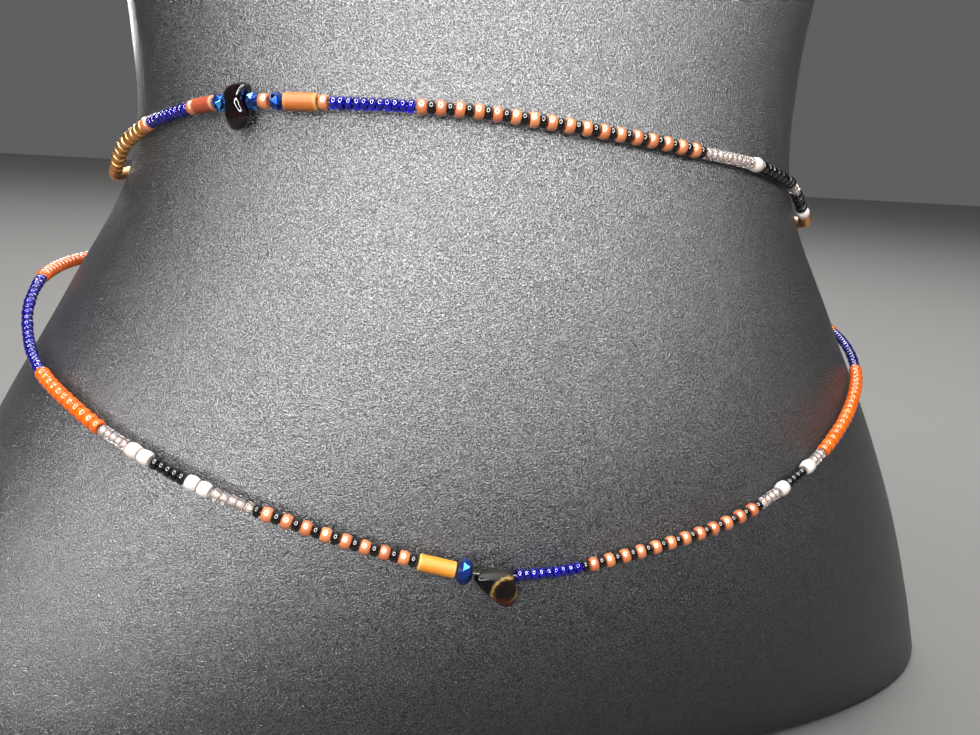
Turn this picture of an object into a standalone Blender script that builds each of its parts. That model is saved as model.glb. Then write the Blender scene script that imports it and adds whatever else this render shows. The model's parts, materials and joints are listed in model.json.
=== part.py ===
"""Waist beads: two closed strands of strung beads on a limbless torso display form.

The form stands on its flat base at z = 0, with its front towards -Y and +Z up.  Angles run around
it seen from above, from 0 at its left hip (+X): 90 is the middle of the back, 180 its right hip
and 270 the middle of the front.  Each strand is a closed route over the form, and its beads are
strung along it in runs, one solid for each run of like beads.
"""
import math

import bmesh
import bpy
from mathutils import Vector

MM = 0.001

# Driving dimensions
SEAM_GAP = 0.3 * MM             # between two runs, and between a bead and the form
THREAD_HEIGHT = 2.65 * MM       # thread above the form where the largest seed beads touch it
NECK = 0.62                     # radius where two beads meet, as a share of the bead's own
FORM_EXPONENT = 2.25            # roundness of the form's sections: 2 is an ellipse
FORM_LEAN = 0.063               # how far the form's axis leans back for each metre of height
LEAN_FROM = 0.15                # height where the leaning axis is as far forward as AXIS_Y
AXIS_Y = -1.0 * MM              # centres the whole over the origin
RING_STEP = 0.015               # height between two sections of the form's skin
FORM_SIDES = 40
BASE_EDGE = 3.0 * MM            # rounding of the form's lower edge
ROUTE_STEPS = 720

# Sections of the form, in millimetres: height, half width, depth to the front, depth to the back
FORM_SECTIONS = (
    (0, 209, 77.5, 98), (30, 197, 89, 108), (70, 179.5, 98.5, 112), (110, 159, 102, 108),
    (150, 136, 100, 95), (190, 115.5, 95, 82), (230, 114.5, 89.5, 74), (270, 122, 86, 73),
    (310, 134, 92, 79), (350, 144, 108, 86), (390, 151, 119, 91), (430, 158, 111, 95),
    (470, 166, 94, 95), (500, 167, 82, 90), (525, 154, 72, 82), (543, 127, 64, 73),
    (556, 96, 57, 65), (570, 72, 52, 58), (590, 60, 49, 52), (615, 57, 48, 50),
)

# Routes of the strands: angle around the form in degrees, height and extra stand-off in millimetres
UPPER_ROUTE = (
    (20, 180, 1.3), (60, 179.5, 0.6), (100, 180, 0.4), (135, 181.5, 0.8), (158, 183.5, 1.8),
    (172, 184.8, 2.4), (181, 184.6, 1.8), (188, 186.2, 1.3), (192.8, 188.8, 1.2), (196, 193, 1.5),
    (199, 196.2, 1.0), (202.5, 199, 0.2), (207, 201.8, 0.0), (214, 204.9, 0.0), (220, 207.1, 0.7),
    (225.5, 208.2, 1.3), (231, 208.7, 1.1), (236, 209, 0.7), (241, 209.2, 0.1), (252, 209.5, 0.0),
    (261, 209.2, 0.0), (270, 208.1, 0.0), (280, 206.6, 0.0), (290, 204.9, 0.0), (300, 202.8, 0.0),
    (310, 200.9, 0.1), (316, 199, 0.1), (321, 197, 0.0), (326, 194.8, 0.0), (330, 190.6, 0.2),
    (334.5, 185.4, 0.4), (340, 182.2, 0.6), (349, 180.8, 1.2),
)
LOWER_ROUTE = (
    (20, 146, 3.2), (50, 151, 1.6), (90, 154, 0.5), (125, 154, 2.6), (150, 153.2, 4.6),
    (168, 152, 5.8), (180, 151.6, 5.6), (186.5, 150.2, 5.5), (189.4, 146.6, 5.1),
    (191.5, 142.6, 4.2), (193.3, 138.6, 2.6), (195.7, 135, 1.1), (198.8, 132, 0.1),
    (203, 129.6, 0.0), (209.5, 125.3, 0.0), (214.7, 120.9, 0.0), (221.7, 115, 0.2),
    (228.8, 108.7, 0.2), (234, 104.7, 0.0), (240, 100.6, 0.0), (246, 96.5, 0.0), (252, 93, 0.1),
    (257.5, 90.5, 0.9), (262.5, 88.8, 2.1), (267, 87.3, 1.6), (272, 86.6, 0.4), (277, 86.9, 0.0),
    (283, 88.8, 0.0), (291.5, 92.1, 0.0), (301, 96.2, 0.0), (307, 100.2, 0.0), (311.3, 104.6, 0.1),
    (316, 109.6, 0.1), (320, 113.8, 0.0), (325, 119.5, 0.0), (331.5, 126.3, 0.0),
    (338.5, 131.8, 0.0), (345, 135.9, 0.4), (356, 139.5, 2.0),
)

# Kinds of bead: radius and length in millimetres, sides of the solid, and profile along the bead
# as (share of the length, share of the radius) pairs
SEED = ((0.0, NECK), (0.5, 1.0))
CYLINDER = ((0.0, 0.86), (0.07, 1.0), (0.93, 1.0))
FACETED = ((0.0, 0.5), (0.3, 1.0), (0.7, 1.0))
KINDS = {
    "peach": (2.2, 2.95, 6, SEED),
    "gold": (2.2, 3.0, 6, SEED),
    "orange": (2.25, 2.9, 6, SEED),
    "white": (2.3, 3.8, 6, SEED),
    "black": (1.85, 2.15, 6, SEED),
    "blue": (1.85, 2.15, 6, SEED),
    "clear": (1.9, 2.1, 6, SEED),
    "jet": (2.0, 2.7, 6, SEED),
    "tube": (2.3, 9.0, 12, CYLINDER),
    "tube_brown": (2.05, 8.0, 12, CYLINDER),
    "facet": (2.35, 3.8, 8, FACETED),
    "large_facet": (3.9, 4.9, 8, FACETED),
}

# Runs along each strand, in order: name, kinds that repeat, times they repeat, angle where it ends
UPPER_START = 205.3
UPPER_RUNS = (
    ("peach_a", ("peach",), 1, 207.0),
    ("blue_a", ("blue",), 9, 216.9),
    ("peach_b", ("peach",), 1, 218.3),
    ("tube_brown", ("tube_brown",), 1, 222.0),
    ("facet_a", ("facet",), 1, 223.8),
    ("chip", None, 1, 227.4),
    ("facet_b", ("facet",), 1, 229.2),
    ("peach_c", ("peach",), 1, 230.8),
    ("facet_c", ("facet",), 1, 232.9),
    ("tube_orange", ("tube",), 1, 237.6),
    ("peach_d", ("peach",), 1, 239.1),
    ("blue_b", ("blue",), 11, 251.5),
    ("peach_black", ("peach", "black"), 17, 299.6),
    ("clear_a", ("clear",), 10, 310.4),
    ("white_a", ("white",), 1, 312.6),
    ("black_a", ("jet",), 8, 325.4),
    ("clear_b", ("clear",), 2, 328.0),
    ("black_b", ("jet",), 4, 333.0),
    ("white_b", ("white",), 1, 335.0),
    ("gold_back_a", ("gold",), 29, 380.0),
    ("gold_back_b", ("gold",), 28, 428.0),
    ("gold_back_c", ("gold",), 25, 479.0),
    ("gold_back_d", ("gold",), 31, 530.0),
    ("gold_side", ("gold",), 24, 565.3),
)
LOWER_START = 185.3
LOWER_RUNS = (
    ("blue_a", ("blue",), 22, 202.2),
    ("orange_a", ("orange",), 11, 214.9),
    ("clear_a", ("clear",), 5, 218.7),
    ("white_a", ("white",), 2, 221.8),
    ("black_a", ("black",), 5, 225.9),
    ("white_b", ("white",), 2, 228.9),
    ("clear_b", ("clear",), 5, 233.7),
    ("black_first", ("black",), 1, 234.6),
    ("peach_black_a", ("peach", "black"), 8, 254.8),
    ("tube_orange", ("tube",), 1, 260.3),
    ("facet_a", ("large_facet",), 1, 262.8),
    ("chip", None, 1, 269.4),
    ("blue_b", ("blue",), 9, 280.2),
    ("black_second", ("black",), 1, 281.2),
    ("peach_black_b", ("peach", "black"), 12, 308.5),
    ("clear_c", ("clear",), 4, 311.3),
    ("white_c", ("white",), 1, 312.9),
    ("black_b", ("black",), 4, 316.0),
    ("white_d", ("white",), 1, 317.7),
    ("clear_d", ("clear",), 3, 319.9),
    ("orange_b", ("orange",), 18, 339.0),
    ("blue_c", ("blue",), 15, 352.0),
    ("orange_back_a", ("orange",), 35, 398.0),
    ("orange_back_b", ("orange",), 28, 444.0),
    ("orange_back_c", ("orange",), 28, 494.0),
    ("orange_back_d", ("orange",), 38, 545.3),
)

# Tumbled stone chips: outline as (along the strand, up the skin) points in millimetres from the
# drilled hole, and half thickness.  A stone's rings draw in from that outline to both its faces.
UPPER_CHIP = (((3.1, 0.2), (3.9, 2.9), (4.8, 4.9), (1.0, 5.2), (-2.3, 4.3), (-3.5, 2.4), (-3.1, -0.5),
               (-2.5, -4.0), (-2.0, -6.6), (0.2, -8.3), (3.6, -6.8), (5.0, -3.7), (3.6, -1.6)), 2.9)
LOWER_CHIP = (((6.0, 0.0), (6.6, -2.2), (8.4, -4.2), (8.5, -8.4), (6.2, -10.4), (2.9, -8.6),
               (-0.3, -6.5), (-3.1, -4.5), (-5.0, -2.7), (-6.4, -1.2), (-4.8, 0.5), (-2.3, 1.5),
               (1.5, 2.1), (5.1, 2.0)), 2.8)
CHIP_RINGS = ((0.42, -1.0), (0.84, -0.72), (1.0, 0.0), (0.84, 0.72), (0.42, 1.0))

# Colour, roughness and metallic value of each bead and of the form
FINISHES = {
    "peach": ((0.83, 0.32, 0.14, 1.0), 0.25, 0.3),
    "gold": ((0.52, 0.22, 0.03, 1.0), 0.25, 0.9),
    "orange": ((0.90, 0.10, 0.01, 1.0), 0.3, 0.0),
    "white": ((0.95, 0.85, 0.80, 1.0), 0.25, 0.0),
    "black": ((0.01, 0.01, 0.01, 1.0), 0.1, 0.0),
    "blue": ((0.01, 0.0, 0.55, 1.0), 0.1, 0.0),
    "clear": ((0.75, 0.70, 0.68, 1.0), 0.1, 0.0),
    "jet": ((0.01, 0.01, 0.01, 1.0), 0.1, 0.0),
    "tube": ((0.82, 0.36, 0.06, 1.0), 0.6, 0.0),
    "tube_brown": ((0.50, 0.08, 0.03, 1.0), 0.6, 0.0),
    "facet": ((0.02, 0.06, 0.30, 1.0), 0.15, 0.8),
    "large_facet": ((0.02, 0.04, 0.16, 1.0), 0.15, 0.8),
    "stone": ((0.03, 0.015, 0.01, 1.0), 0.1, 0.0),
    "plastic": ((0.03, 0.03, 0.035, 1.0), 0.5, 0.0),
}


def clear_scene():
    for thing in list(bpy.data.objects):
        bpy.data.objects.remove(thing, do_unlink=True)


def smooth(rows, x, period=None):
    """Read a smooth curve through rows of (x, values...), which closes on itself over a period."""
    rows = list(rows)
    if period:
        first, last = rows[0], rows[-1]
        x = (x - first[0]) % period + first[0]
        after = [(row[0] + period,) + tuple(row[1:]) for row in rows[:2]]
        before = [(last[0] - period,) + tuple(last[1:])]
        rows = before + rows + after
    x = min(max(x, rows[0][0]), rows[-1][0])
    i = 0
    while i < len(rows) - 2 and x > rows[i + 1][0]:
        i += 1
    a, b = rows[i], rows[i + 1]
    span = b[0] - a[0]
    t = (x - a[0]) / span
    result = []
    for column in range(1, len(a)):
        chord = (b[column] - a[column]) / span
        slope_a = slope_b = chord
        if i > 0:
            slope_a = (b[column] - rows[i - 1][column]) / (b[0] - rows[i - 1][0])
        if i + 2 < len(rows):
            slope_b = (rows[i + 2][column] - a[column]) / (rows[i + 2][0] - a[0])
        value = (a[column] * (1 + 2 * t) * (1 - t) ** 2 + b[column] * t * t * (3 - 2 * t)
                 + span * slope_a * t * (1 - t) ** 2 - span * slope_b * t * t * (1 - t))
        result.append(value)
    return result


def section(height):
    """Half width, depth to the front, depth to the back and centre of the form, in metres."""
    half_width, front, back = smooth(FORM_SECTIONS, height / MM)
    centre = AXIS_Y + FORM_LEAN * (height - LEAN_FROM)
    return half_width * MM, front * MM, back * MM, centre


def skin_radius(angle, height):
    """How far the skin is from the form's axis at this angle and height."""
    half_width, front, back, _ = section(height)
    depth = front if math.sin(angle) < 0 else back
    across = abs(math.cos(angle) / half_width) ** FORM_EXPONENT
    along = abs(math.sin(angle) / depth) ** FORM_EXPONENT
    return (across + along) ** (-1 / FORM_EXPONENT)


def share(point):
    """1 on the skin, less inside it and more outside."""
    centre = section(point.z)[3]
    y = point.y - centre
    return math.hypot(point.x, y) / skin_radius(math.atan2(y, point.x), point.z)


def skin_normal(point):
    """The outward direction at a point, and how fast share() grows that way."""
    step = 0.2 * MM
    slope = Vector([
        (share(point + offset) - share(point - offset)) / (2 * step)
        for offset in (Vector((step, 0, 0)), Vector((0, step, 0)), Vector((0, 0, step)))
    ])
    return slope.normalized(), slope.length


def route_point(angle, height, clearance):
    """The point at this angle and height that stands this far off the skin."""
    centre = section(height)[3]
    reach = skin_radius(angle, height) + clearance
    for _ in range(5):
        point = Vector((reach * math.cos(angle), centre + reach * math.sin(angle), height))
        _, rate = skin_normal(point)
        reach += clearance - (share(point) - 1) / rate
    return point


class Strand:
    """A closed route over the form, measured along its own length."""

    def __init__(self, rows):
        self.angles = [rows[0][0] + 360 * i / ROUTE_STEPS for i in range(2 * ROUTE_STEPS + 1)]
        lap = []
        for angle in self.angles[:ROUTE_STEPS]:
            height, stand_off = smooth(rows, angle, 360)
            clearance = THREAD_HEIGHT + max(stand_off, 0) * MM
            lap.append(route_point(math.radians(angle), height * MM, clearance))
        self.points = lap + lap + lap[:1]
        self.reached = [0.0]
        for a, b in zip(self.points, self.points[1:]):
            self.reached.append(self.reached[-1] + (b - a).length)
        self.length = self.reached[ROUTE_STEPS]

    def along(self, angle):
        """Distance along the route at an angle."""
        steps = (angle - self.angles[0]) % 720 / 360 * ROUTE_STEPS
        i = min(int(steps), 2 * ROUTE_STEPS - 1)
        return self.reached[i] + (steps - i) * (self.reached[i + 1] - self.reached[i])

    def at(self, distance):
        """The route's point at a distance along it."""
        distance %= self.length
        low, high = 0, len(self.reached) - 1
        while high - low > 1:
            middle = (low + high) // 2
            if self.reached[middle] <= distance:
                low = middle
            else:
                high = middle
        t = (distance - self.reached[low]) / (self.reached[high] - self.reached[low])
        return self.points[low].lerp(self.points[high], t)

    def frame(self, distance):
        """Directions at a distance: along the strand, up the skin, and out of it."""
        along = (self.at(distance + MM) - self.at(distance - MM)).normalized()
        outward, _ = skin_normal(self.at(distance))
        up = outward.cross(along).normalized()
        return along, up, along.cross(up)


def make_material(name):
    colour, roughness, metallic = FINISHES[name]
    material = bpy.data.materials.new(name)
    material.use_nodes = True
    shader = material.node_tree.nodes["Principled BSDF"]
    shader.inputs["Base Color"].default_value = colour
    shader.inputs["Roughness"].default_value = roughness
    shader.inputs["Metallic"].default_value = metallic
    material.diffuse_color = colour
    return material


def add_object(name, data, finish, collection):
    thing = bpy.data.objects.new(name, data)
    data.materials.append(bpy.data.materials.get(finish) or make_material(finish))
    collection.objects.link(thing)
    return thing


def make_form(collection):
    """The torso: level sections lofted from the flat base to the flat top of the neck."""
    top = FORM_SECTIONS[-1][0] * MM
    count = round(top / RING_STEP)
    heights = [0.0, BASE_EDGE * 0.3, BASE_EDGE] + [top * i / count for i in range(1, count + 1)]
    insets = [BASE_EDGE, BASE_EDGE * 0.3, 0.0] + [0.0] * count
    shell = bmesh.new()
    rings = []
    for height, inset in zip(heights, insets):
        centre = section(height)[3]
        ring = []
        for i in range(FORM_SIDES):
            angle = 2 * math.pi * i / FORM_SIDES
            reach = skin_radius(angle, height) - inset
            ring.append(shell.verts.new((reach * math.cos(angle),
                                         centre + reach * math.sin(angle), height)))
        rings.append(ring)
    for lower, upper in zip(rings, rings[1:]):
        for i in range(FORM_SIDES):
            j = (i + 1) % FORM_SIDES
            shell.faces.new((lower[i], lower[j], upper[j], upper[i]))
    shell.faces.new(list(reversed(rings[0])))
    shell.faces.new(rings[-1])
    bmesh.ops.recalc_face_normals(shell, faces=shell.faces)
    mesh = bpy.data.meshes.new("form")
    shell.to_mesh(mesh)
    shell.free()
    mesh.shade_smooth()
    add_object("form", mesh, "plastic", collection)


def make_run(name, strand, kinds, repeats, start, end, collection):
    """A run of beads on the thread: one curve whose radius swells at each bead."""
    beads = [KINDS[kind] for kind in kinds] * repeats
    room = end - start - SEAM_GAP
    stretch = room / sum(bead[1] for bead in beads)
    rings = []
    reached = start + SEAM_GAP / 2
    for radius, length, _, profile in beads:
        for part, swell in profile:
            rings.append((reached + part * length * stretch, radius * swell))
        reached += length * stretch
    radius, _, sides, profile = beads[-1]
    rings.append((reached, radius * profile[0][1]))

    curve = bpy.data.curves.new(name, "CURVE")
    curve.dimensions = "3D"
    curve.bevel_depth = MM
    curve.bevel_resolution = sides // 2 - 2
    curve.use_fill_caps = True
    curve.twist_mode = "MINIMUM"
    curve.render_resolution_u = 0
    spline = curve.splines.new("POLY")
    spline.points.add(len(rings) - 1)
    for point, (distance, radius) in zip(spline.points, rings):
        point.co = (*strand.at(distance), 1.0)
        point.radius = radius
    add_object(name, curve, kinds[0], collection)


def make_chip(name, strand, shape, start, end, collection):
    """A tumbled stone, lying flat on the skin: a cage of rings, rounded by subdivision."""
    outline, half_thickness = shape
    middle = (start + end) / 2
    along, up, outward = strand.frame(middle)
    hole = strand.at(middle)
    centre_x = sum(x for x, _ in outline) / len(outline)
    centre_y = sum(y for _, y in outline) / len(outline)
    stone = bmesh.new()
    for spread, rise in CHIP_RINGS:
        ring = bmesh.ops.create_circle(stone, segments=len(outline), radius=1.0)["verts"]
        for vert, (x, y) in zip(ring, outline):
            x = centre_x + (x - centre_x) * spread
            y = centre_y + (y - centre_y) * spread
            vert.co = hole + MM * (along * x + up * y + outward * rise * half_thickness)
    rings = list(stone.edges)
    count = len(outline)
    for i in range(len(CHIP_RINGS) - 1):
        bmesh.ops.bridge_loops(stone, edges=rings[i * count:(i + 2) * count])
    bmesh.ops.holes_fill(stone, edges=[edge for edge in stone.edges if edge.is_boundary])
    bmesh.ops.recalc_face_normals(stone, faces=stone.faces)
    mesh = bpy.data.meshes.new(name)
    stone.to_mesh(mesh)
    stone.free()
    mesh.shade_smooth()
    add_object(name, mesh, "stone", collection)
    rounding = bpy.data.objects[name].modifiers.new("rounding", "SUBSURF")
    rounding.levels = 1
    rounding.render_levels = 1


def make_strand(prefix, rows, first, runs, chip, collection):
    strand = Strand(rows)
    start = strand.along(first)
    for name, kinds, repeats, last in runs:
        end = strand.along(last)
        if end < start:
            end += strand.length
        if kinds:
            make_run(prefix + name, strand, kinds, repeats, start, end, collection)
        else:
            make_chip(prefix + name, strand, chip, start, end, collection)
        start = end


clear_scene()
waist_beads = bpy.data.collections.new("waist_beads")
bpy.context.scene.collection.children.link(waist_beads)
make_form(waist_beads)
make_strand("upper_", UPPER_ROUTE, UPPER_START, UPPER_RUNS, UPPER_CHIP, waist_beads)
make_strand("lower_", LOWER_ROUTE, LOWER_START, LOWER_RUNS, LOWER_CHIP, waist_beads)
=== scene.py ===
import json
import math
import random

import bmesh
import bpy
from mathutils import Matrix, Vector

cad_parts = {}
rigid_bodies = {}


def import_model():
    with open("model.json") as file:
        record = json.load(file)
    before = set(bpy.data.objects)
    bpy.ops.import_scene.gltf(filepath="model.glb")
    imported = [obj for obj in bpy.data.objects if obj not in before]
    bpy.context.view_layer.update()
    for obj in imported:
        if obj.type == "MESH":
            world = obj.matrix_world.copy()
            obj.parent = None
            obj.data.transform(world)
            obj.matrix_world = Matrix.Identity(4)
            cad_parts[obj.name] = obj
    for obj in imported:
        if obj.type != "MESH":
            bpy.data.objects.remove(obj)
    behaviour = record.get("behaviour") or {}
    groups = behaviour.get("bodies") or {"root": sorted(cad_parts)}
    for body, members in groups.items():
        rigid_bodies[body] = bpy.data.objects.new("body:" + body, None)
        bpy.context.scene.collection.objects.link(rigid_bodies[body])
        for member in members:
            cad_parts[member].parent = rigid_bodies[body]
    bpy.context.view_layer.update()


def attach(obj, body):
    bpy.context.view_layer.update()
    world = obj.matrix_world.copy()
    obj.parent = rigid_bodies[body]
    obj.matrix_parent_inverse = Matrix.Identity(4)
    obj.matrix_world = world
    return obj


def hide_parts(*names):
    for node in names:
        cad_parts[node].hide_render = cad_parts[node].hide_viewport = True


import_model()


# The display form: a hollow torso blow-moulded in black plastic, with a fine pebbled grain from
# the mould. It has no limbs, stands on the flat of its base, and ends in a short neck with a
# flat, slightly sunk cap.
MM = 0.001
FORM_EXPONENT = 2.25            # 2 is an ellipse, and more is squarer
FORM_LEAN = 0.063               # how far the form leans back for each metre of height
LEAN_FROM = 0.15                # in metres
AXIS_Y = -1.0 * MM
BASE_EDGE = 3.0 * MM            # radius of the edge around the base
BASE_ROWS = (0.0, 0.12, 0.35, 0.65, 1.0)    # heights of the rows of faces on it, as shares
FORM_SECTIONS = (               # height, half width, depth to the front, depth to the back, in mm
    (0, 209, 77.5, 98), (30, 197, 89, 108), (70, 179.5, 98.5, 112), (110, 159, 102, 108),
    (150, 136, 100, 95), (190, 115.5, 95, 82), (230, 114.5, 89.5, 74), (270, 122, 86, 73),
    (310, 134, 92, 79), (350, 144, 108, 86), (390, 151, 119, 91), (430, 158, 111, 95),
    (470, 166, 94, 95), (500, 167, 82, 90), (525, 154, 72, 82), (543, 127, 64, 73),
    (556, 96, 57, 65), (570, 72, 52, 58), (590, 60, 49, 52), (615, 57, 48, 50),
)
FORM_ROUND = 180                # faces around the skin
FORM_RISE = 4.0 * MM            # height of a row of faces
NECK_RIM = 4.0 * MM
NECK_BEVEL = 0.8 * MM
NECK_SINK = 1.2 * MM
GRAIN_SIZE = 0.52 * MM          # width of a pebble of the moulded grain
GRAIN_DEPTH = 0.32 * MM
PEBBLES = -0.35                 # how much the pebbles count in the relief, beside its ripple
RIPPLES = 1.4                   # ripples for each pebble


def smooth(rows, x, period=None):
    """Read a smooth curve through rows of (x, values...), which closes on itself over a period."""
    rows = list(rows)
    if period:
        first, last = rows[0], rows[-1]
        x = (x - first[0]) % period + first[0]
        after = [(row[0] + period,) + tuple(row[1:]) for row in rows[:2]]
        before = [(last[0] - period,) + tuple(last[1:])]
        rows = before + rows + after
    x = min(max(x, rows[0][0]), rows[-1][0])
    i = 0
    while i < len(rows) - 2 and x > rows[i + 1][0]:
        i += 1
    a, b = rows[i], rows[i + 1]
    span = b[0] - a[0]
    t = (x - a[0]) / span
    result = []
    for column in range(1, len(a)):
        slope_a = slope_b = (b[column] - a[column]) / span
        if i > 0:
            slope_a = (b[column] - rows[i - 1][column]) / (b[0] - rows[i - 1][0])
        if i + 2 < len(rows):
            slope_b = (rows[i + 2][column] - a[column]) / (rows[i + 2][0] - a[0])
        value = (a[column] * (1 + 2 * t) * (1 - t) ** 2 + b[column] * t * t * (3 - 2 * t)
                 + span * slope_a * t * (1 - t) ** 2 - span * slope_b * t * t * (1 - t))
        result.append(value)
    return result


def section(height):
    """Half width, depth to the front, depth to the back and centre of the form, in metres."""
    half_width, front, back = smooth(FORM_SECTIONS, height / MM)
    centre = AXIS_Y + FORM_LEAN * (height - LEAN_FROM)
    return half_width * MM, front * MM, back * MM, centre


def skin_radius(angle, height):
    """How far the skin is from the form's axis at this angle and height."""
    half_width, front, back, _ = section(height)
    depth = front if math.sin(angle) < 0 else back
    across = abs(math.cos(angle) / half_width) ** FORM_EXPONENT
    along = abs(math.sin(angle) / depth) ** FORM_EXPONENT
    return (across + along) ** (-1 / FORM_EXPONENT)


def linear(hex_colour):
    """An sRGB hex colour as linear RGBA."""
    parts = [int(hex_colour[i:i + 2], 16) / 255 for i in (1, 3, 5)]
    return [c / 12.92 if c <= 0.04045 else ((c + 0.055) / 1.055) ** 2.4 for c in parts] + [1.0]


def add_node(material, kind, settings=(), inputs=()):
    """Add a shader node, set its properties, and set or link its inputs."""
    node = material.node_tree.nodes.new(kind)
    for name, value in dict(settings).items():
        setattr(node, name, value)
    for name, value in dict(inputs).items():
        if isinstance(value, bpy.types.NodeSocket):
            material.node_tree.links.new(value, node.inputs[name])
        else:
            node.inputs[name].default_value = value
    return node


def new_material(name):
    """A new material and its shader."""
    material = bpy.data.materials.new(name)
    material.use_nodes = True
    return material, material.node_tree.nodes["Principled BSDF"]


def finish_shader(material, shader, inputs):
    """Set or link the inputs of a material's shader."""
    for name, value in inputs.items():
        if isinstance(value, bpy.types.NodeSocket):
            material.node_tree.links.new(value, shader.inputs[name])
        else:
            shader.inputs[name].default_value = value


def add_piece(name, shape, materials, slot, *nodes):
    """Make a bmesh into a piece of the part, in place of the CAD nodes named."""
    mesh = bpy.data.meshes.new(name)
    shape.to_mesh(mesh)
    shape.free()
    for material in materials:
        mesh.materials.append(material)
    piece = bpy.data.objects.new(name, mesh)
    bpy.context.scene.collection.objects.link(piece)
    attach(piece, "root")
    if nodes:
        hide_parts(*nodes)
    return piece


# Black polypropylene, blow-moulded against a grained mould: the tops of the pebbles take the gloss
# and the hollows stay dull, so the black looks grey and sparkles where the light rakes it. The base
# colour is painted as well: lighter on the pebbles' tops and darker in their hollows, a painted
# light and shade of the grain.
form_plastic, shader = new_material("form_moulded_polypropylene")
place = add_node(form_plastic, "ShaderNodeTexCoord").outputs["Object"]
pebbles = add_node(form_plastic, "ShaderNodeTexVoronoi", {"feature": "F1"},
                   {"Vector": place, "Scale": 1 / GRAIN_SIZE, "Randomness": 1.0})
ripple = add_node(form_plastic, "ShaderNodeTexNoise", {},
                  {"Vector": place, "Scale": RIPPLES / GRAIN_SIZE, "Detail": 1.0, "Roughness": 0.5})
relief = add_node(form_plastic, "ShaderNodeMath", {"operation": "MULTIPLY_ADD"},
                  {0: pebbles.outputs["Distance"], 1: PEBBLES, 2: ripple.outputs["Fac"]})
grain = add_node(form_plastic, "ShaderNodeBump", {},
                 {"Height": relief.outputs["Value"], "Strength": 1.0, "Distance": GRAIN_DEPTH})
# Painted light and shade: the base colour is lighter on the pebbles' tops and darker in their
# hollows.
shade = add_node(form_plastic, "ShaderNodeValToRGB", {}, {"Fac": relief.outputs["Value"]})
shade.color_ramp.elements[0].color = linear("#020202")
shade.color_ramp.elements[1].color = linear("#242426")
shade.color_ramp.elements[0].position = 0.22
shade.color_ramp.elements[1].position = 0.54
gloss = add_node(form_plastic, "ShaderNodeMapRange", {},
                 {"Value": relief.outputs["Value"], "From Min": 0.23, "From Max": 0.54,
                  "To Min": 0.38, "To Max": 1.0})
finish_shader(form_plastic, shader, {
    "Base Color": shade.outputs["Color"], "Roughness": 0.34, "IOR": 1.52,
    "Specular IOR Level": gloss.outputs["Result"], "Normal": grain.outputs["Normal"]})

form_top = FORM_SECTIONS[-1][0] * MM
rows = round(form_top / FORM_RISE)
heights = [BASE_EDGE * part for part in BASE_ROWS] + [
    BASE_EDGE + (form_top - BASE_EDGE) * i / rows for i in range(1, rows + 1)]
skin = bmesh.new()
bmesh.ops.create_circle(skin, segments=FORM_ROUND, radius=1.0)
ring_edges = skin.edges[:]
centre_below = 0.0
for level, height in enumerate(heights):
    if level:
        raised = bmesh.ops.extrude_edge_only(skin, edges=ring_edges)["geom"]
        ring_edges = [part for part in raised if isinstance(part, bmesh.types.BMEdge)
                      and all(vert in raised for vert in part.verts)]
        ring_verts = [part for part in raised if isinstance(part, bmesh.types.BMVert)]
    else:
        ring_verts = skin.verts[:]
    below_edge = BASE_EDGE - min(height, BASE_EDGE)
    tuck = BASE_EDGE - math.sqrt(BASE_EDGE ** 2 - below_edge ** 2)
    centre = section(height)[3]
    for vert in ring_verts:
        angle = math.atan2(vert.co.y - centre_below, vert.co.x)
        reach = skin_radius(angle, height) - tuck
        vert.co = (reach * math.cos(angle), centre + reach * math.sin(angle), height)
    centre_below = centre
caps = bmesh.ops.holes_fill(skin, edges=[edge for edge in skin.edges if edge.is_boundary])["faces"]
top_cap = [face for face in caps if face.calc_center_median().z > form_top / 2]
bmesh.ops.recalc_face_normals(skin, faces=skin.faces)
bmesh.ops.inset_region(skin, faces=top_cap, thickness=NECK_RIM)
bmesh.ops.inset_region(skin, faces=top_cap, thickness=NECK_BEVEL)
sunk = {vert for face in top_cap for vert in face.verts}
bmesh.ops.translate(skin, verts=list(sunk), vec=(0, 0, -NECK_SINK))
for face in skin.faces:
    face.smooth = len(face.verts) == 4
display_form = add_piece("display_form", skin, [form_plastic], "form_plastic", "form")


# The courses of the strands over the form. Each is a closed line that clears the skin by the
# height of the thread, and by more where the strand hangs free of the hips.
THREAD_HEIGHT = 2.65 * MM
ROUTE_STEPS = 720               # points in one turn around the form
SETTLING = 5                    # passes that bring a point to its height off the skin
UPPER_ROUTE = (                 # angle around the form, height and stand-off in mm
    (20, 180, 1.3), (60, 179.5, 0.6), (100, 180, 0.4), (135, 181.5, 0.8), (158, 183.5, 1.8),
    (172, 184.8, 2.4), (181, 184.6, 1.8), (188, 186.2, 1.3), (192.8, 188.8, 1.2), (196, 193, 1.5),
    (199, 196.2, 1.0), (202.5, 199, 0.2), (207, 201.8, 0.0), (214, 204.9, 0.0), (220, 207.1, 0.7),
    (225.5, 208.2, 1.3), (231, 208.7, 1.1), (236, 209, 0.7), (241, 209.2, 0.1), (252, 209.5, 0.0),
    (261, 209.2, 0.0), (270, 208.1, 0.0), (280, 206.6, 0.0), (290, 204.9, 0.0), (300, 202.8, 0.0),
    (310, 200.9, 0.1), (316, 199, 0.1), (321, 197, 0.0), (326, 194.8, 0.0), (330, 190.6, 0.2),
    (334.5, 185.4, 0.4), (340, 182.2, 0.6), (349, 180.8, 1.2),
)
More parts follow.
